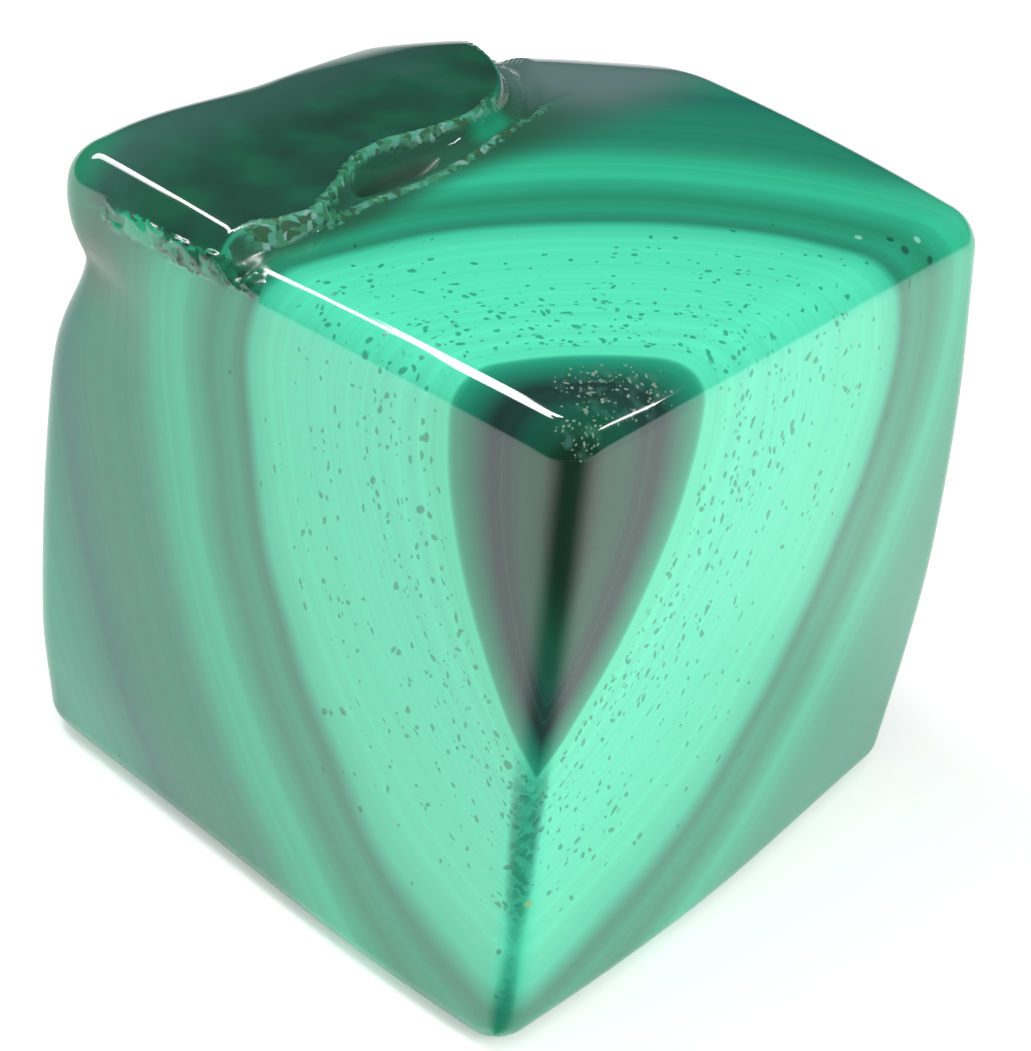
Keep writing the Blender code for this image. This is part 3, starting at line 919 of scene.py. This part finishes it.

# %% [markdown]
# ## Specks, a worn edge with a painted reflection, and single marks
#
# The corner that stands nearest has been knocked: bright crystal specks and a thin haze lie on
# the dark core there. Further down, the upright edge is a little granular from wear and darker
# from a painted dark reflection. A few single marks sit elsewhere on the polish. The specks use
# the same kind of cell pattern as the pores, and are kept to three small zones.

# %% Scatter specks and single marks
SPECK_PALE, SPECK_GREEN = (0.330, 0.420, 0.330, 1.0), (0.060, 0.330, 0.220, 1.0)
HAZE_COLOUR = (0.080, 0.260, 0.190, 1.0)
EDGE_REFLECTION_AND_WEAR = (0.012, 0.200, 0.115, 1.0)
YELLOW_MARK, GREY_MARK = (0.26, 0.56, 0.26, 1.0), (0.12, 0.22, 0.19, 1.0)
PALE_MARK, DARK_MARK = (0.22, 0.60, 0.45, 1.0), (0.015, 0.120, 0.080, 1.0)
# Each mark: its centre, its radius and its colour
MARKS = (
    ((9.40, -8.84, 5.40), 0.16, YELLOW_MARK), ((-7.96, -5.87, 19.55), 0.26, GREY_MARK),
    ((7.65, 4.13, 19.95), 0.14, PALE_MARK), ((8.55, 5.64, 19.74), 0.14, PALE_MARK),
    ((8.64, 4.95, 19.74), 0.18, DARK_MARK), ((8.21, 4.82, 19.90), 0.14, DARK_MARK),
    ((9.02, 5.71, 19.31), 0.16, DARK_MARK),
)

speck_chance, speck_size, speck_gap = cell_pattern(tree, shaken.outputs[0], 10.5)
speck_zone = times(tree, spot(tree, (8.0, -6.3, 20.1), 0.9, 2.0),
                   between(tree, height_at, 19.2, 19.6))
for centre, inner, outer, strength in (((8.45, -8.1, 19.6), 0.35, 0.75, 1.4),
                                       ((9.0, -5.9, 19.9), 0.25, 0.70, 2.2)):
    zone = times(tree, spot(tree, centre, inner, outer), strength)
    speck_zone = calc(tree, "MAXIMUM", speck_zone, zone)
speck_zone = times(tree, speck_zone, between(tree, depth, 4.2, 3.7))
speck_reach = between(tree, speck_size, 0.0, 1.0, 0.12, 0.62, smooth=False)
past_speck = calc(tree, "SUBTRACT", speck_gap, speck_reach)
speck = times(tree, between(tree, past_speck, 0.10, -0.06),
              calc(tree, "LESS_THAN", speck_chance, times(tree, speck_zone, 0.30)))
speck_colour = blend(tree, speck_chance, SPECK_PALE, SPECK_GREEN)
colour = blend(tree, times(tree, speck, 0.75), colour, speck_colour)
haze = between(tree, noise(tree, place, 2.4, 1.0, 0.7), 0.45, 0.70, 0.0, 0.30)
colour = blend(tree, times(tree, speck_zone, haze), colour, HAZE_COLOUR)
# Formula: across - along + a small share of the height is largest on the upright edge
edge_at = calc(tree, "ADD", calc(tree, "SUBTRACT", across_at, along_at),
               times(tree, height_at, 0.065))
# Painted dark reflection along the lower upright edge, broken up by granular wear.
edge_reflection_and_wear = times(tree, between(tree, edge_at, 18.62, 18.72), between(tree, height_at, 11.0, 8.5),
                  between(tree, granule, 0.0, 1.0, 0.85, 0.60))
colour = blend(tree, edge_reflection_and_wear, colour, EDGE_REFLECTION_AND_WEAR)
for centre, size, mark_colour in MARKS:
    colour = blend(tree, spot(tree, centre, 0.5 * size, size), colour, mark_colour)
print(len(MARKS), "single marks")

# %% [markdown]
# ## Polish
#
# Tumbled malachite is polished until it mirrors. Its refractive index of about 1.85 makes those
# reflections strong: they lay a pale veil of the surroundings over the sides. A coat layer could
# add the shine on top, but the stone's own index gives it in one surface. The ridges, the crust
# and the pores keep a duller surface.

# %% Finish the shader
POLISHED_ROUGHNESS = 0.06
RUGGED_EXTRA = 0.42
PORE_EXTRA = 0.2
STONE_INDEX = 1.85

feed(tree, shader.inputs["Base Color"], colour)
rugged_at = calc(tree, "MAXIMUM", on_ridge, on_edge)
for dull in (between(tree, pocket_at, 0.0, 0.3), between(tree, crust_at, 0.2, 0.5, 0.0, 0.5),
             times(tree, spot(tree, (-2.2, -8.8, 19.5), 0.25, 0.85), 0.7)):
    rugged_at = calc(tree, "MAXIMUM", rugged_at, dull)
# Formula: roughness = rugged extra times rugged + pore extra times pore + polished
rough_all = calc(tree, "ADD", times(tree, rugged_at, RUGGED_EXTRA), times(tree, pore, PORE_EXTRA))
rough_all = calc(tree, "ADD", rough_all, POLISHED_ROUGHNESS)
feed(tree, shader.inputs["Roughness"], rough_all)
shader.inputs["IOR"].default_value = STONE_INDEX
stone_mesh.materials.append(finish)
print("finish has", len(tree.nodes), "nodes")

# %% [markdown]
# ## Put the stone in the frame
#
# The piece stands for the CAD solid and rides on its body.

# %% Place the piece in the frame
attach(stone, "root")
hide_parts("malachite_cube")
print("stone measures", [round(side / MM, 2) for side in stone.dimensions], "mm")

# %% [markdown]
# ## Floor and light
#
# The stone stands on plain white paper on a light table, so hardly any shadow shows. The paper
# shines less towards the stone than towards the camera, which the Light Path node tells apart, so
# that its mirror image doesn't wash out the sides. Each lamp has one task. A key lamp high on the
# left draws the white line along the top edge, a long glow behind it softens that line, a second
# glow lower down does the same for the slab's edge, and a small lamp at the back sets the short
# spark on the right. Three wide lamps light the colours but are left out of the mirrored picture,
# as a photographer would do with a polarizing filter.

# %% Floor and lamps
def plain_material(name, colour, glow=0.0):
    """A dull material of one colour, which can shine by itself."""
    made = bpy.data.materials.new(name)
    made.use_nodes = True
    surface = made.node_tree.nodes["Principled BSDF"]
    surface.inputs["Base Color"].default_value = (*colour, 1.0)
    surface.inputs["Roughness"].default_value = 0.9
    surface.inputs["Specular IOR Level"].default_value = 0.1
    surface.inputs["Emission Color"].default_value = (1.0, 1.0, 1.0, 1.0)
    surface.inputs["Emission Strength"].default_value = glow
    return made


def flat_card(name, corners, material):
    """A flat four-cornered card that belongs to the stage, with its corners in mm."""
    mesh = bpy.data.meshes.new(name)
    mesh.from_pydata((np.array(corners, float) * MM).tolist(), [], [(0, 1, 2, 3)])
    mesh.materials.append(material)
    card = bpy.data.objects.new(name, mesh)
    bpy.context.scene.collection.objects.link(card)
    return card


def area_lamp(name, toward, distance, size, watts, mirrored, shape):
    """A soft lamp that faces the stone. Formula: it stands at the stone's middle plus the
    direction times the distance."""
    direction = Vector(toward).normalized()
    data = bpy.data.lights.new(name, "AREA")
    data.shape = shape
    data.size, data.size_y = size[0] * MM, size[1] * MM
    data.energy = watts
    lamp = bpy.data.objects.new(name, data)
    lamp.location = (Vector(MIDDLE) + direction * distance) * MM
    lamp.rotation_mode = "QUATERNION"
    lamp.rotation_quaternion = direction.to_track_quat("Z", "Y")
    lamp.visible_glossy = mirrored
    bpy.context.scene.collection.objects.link(lamp)
    return lamp


FLOOR_REACH = 900.0
FLOOR_GLOW = 0.36
LIT_SHARE = 0.56
FLOOR_CORNERS = [(side * FLOOR_REACH, end * FLOOR_REACH, 0)
                 for side, end in ((-1, -1), (1, -1), (1, 1), (-1, 1))]
# Each lamp: name, direction, distance, size, watts, whether it is mirrored, shape
LAMPS = (
    ("key_lamp", (-0.43, -0.14, 0.85), 260.0, (80.0, 40.0), 0.12, True, "RECTANGLE"),
    ("key_glow", (-0.45, -0.14, 0.86), 262.0, (28.0, 170.0), 0.15, True, "ELLIPSE"),
    ("slab_glow", (-0.71, -0.25, 0.65), 272.0, (46.0, 86.0), 0.075, True, "ELLIPSE"),
    ("spark_lamp", (0.66, 0.512, 0.47), 300.0, (5.0, 60.0), 0.016, True, "RECTANGLE"),
    ("overhead_lamp", (0.16, -0.14, 0.97), 300.0, (300.0, 300.0), 0.49, False, "RECTANGLE"),
    ("right_lamp", (0.80, 0.10, 0.45), 300.0, (260.0, 200.0), 0.52, False, "RECTANGLE"),
    ("front_lamp", (-0.30, -0.85, 0.40), 300.0, (260.0, 200.0), 0.11, False, "RECTANGLE"),
)

white_paper = plain_material("white_paper", (0.92, 0.925, 0.92), FLOOR_GLOW)
paper_tree = white_paper.node_tree
seen_directly = add(paper_tree, "ShaderNodeLightPath").outputs["Is Camera Ray"]
feed(paper_tree, paper_tree.nodes["Principled BSDF"].inputs["Emission Color"],
     blend(paper_tree, seen_directly, (LIT_SHARE,) * 3 + (1.0,), (1.0,) * 4))
flat_card("floor", FLOOR_CORNERS, white_paper)
for lamp in LAMPS:
    area_lamp(*lamp)
print(len(LAMPS), "lamps,", sum(lamp[5] for lamp in LAMPS), "of them mirrored")

# %% [markdown]
# ## A dark strip in front and a dim room
#
# The upright edge mirrors the floor between the stone and the camera, where the photographer's
# shadow falls: a dark wedge-shaped card with soft sides, a painted shadow, stands for it. It is
# left out of the picture itself and of the light on the stone, and shows only in the polish.
# Behind the stone the room is dim, which keeps the top a deep green.

# %% Shadow card and room
SHADOW_CARD_TURN = math.radians(-31.0)
SHADOW_CARD_SOLID, SHADOW_CARD_END = math.radians(8.0), math.radians(62.0)
SHADOW_CARD_TIP = 9.2 * MM
SHADOW_CARD_CORNERS = [(8.6, -8.6, 0.05), (330, 250, 0.05), (420, -420, 0.05), (-190, -400, 0.05)]
WINDOW_TOWARD = Vector((0.60, -0.50, 0.62)).normalized()

# A dark card that shows only in reflections: a painted shadow of the photographer.
shadow_card_material = plain_material("dark_shadow_card", (0.02, 0.02, 0.02))
shadow_card_tree = shadow_card_material.node_tree
shadow_card_place = add(shadow_card_tree, "ShaderNodeSeparateXYZ")
feed(shadow_card_tree, shadow_card_place.inputs[0], add(shadow_card_tree, "ShaderNodeTexCoord").outputs["Object"])
# Formula: the angle round the wedge's tip, less the wedge's own turn, tells how solid the painted
# shadow is
shadow_card_angle = calc(shadow_card_tree, "ARCTAN2",
                  calc(shadow_card_tree, "SUBTRACT", shadow_card_place.outputs[1], -SHADOW_CARD_TIP),
                  calc(shadow_card_tree, "SUBTRACT", shadow_card_place.outputs[0], SHADOW_CARD_TIP))
shadow_card_off = calc(shadow_card_tree, "ABSOLUTE", calc(shadow_card_tree, "SUBTRACT", shadow_card_angle, SHADOW_CARD_TURN))
feed(shadow_card_tree, shadow_card_tree.nodes["Principled BSDF"].inputs["Alpha"],
     between(shadow_card_tree, shadow_card_off, SHADOW_CARD_SOLID, SHADOW_CARD_END, 1.0, 0.0))
shadow_card = flat_card("shadow_card", SHADOW_CARD_CORNERS, shadow_card_material)
shadow_card.visible_camera = False
shadow_card.visible_diffuse = False
shadow_card.visible_shadow = False

world = bpy.data.worlds.new("soft_room")
world.use_nodes = True
sky = world.node_tree
window_side = add(sky, "ShaderNodeVectorMath", operation="DOT_PRODUCT")
feed(sky, window_side.inputs[0], add(sky, "ShaderNodeTexCoord").outputs["Generated"])
window_side.inputs[1].default_value = tuple(WINDOW_TOWARD)
feed(sky, sky.nodes["Background"].inputs["Strength"],
     between(sky, window_side.outputs["Value"], 0.42, 0.75, 0.10, 0.45))
bpy.context.scene.world = world
bpy.context.scene.view_settings.view_transform = "Standard"
print("felt turns", round(math.degrees(SHADOW_CARD_TURN)), "degrees from the right")
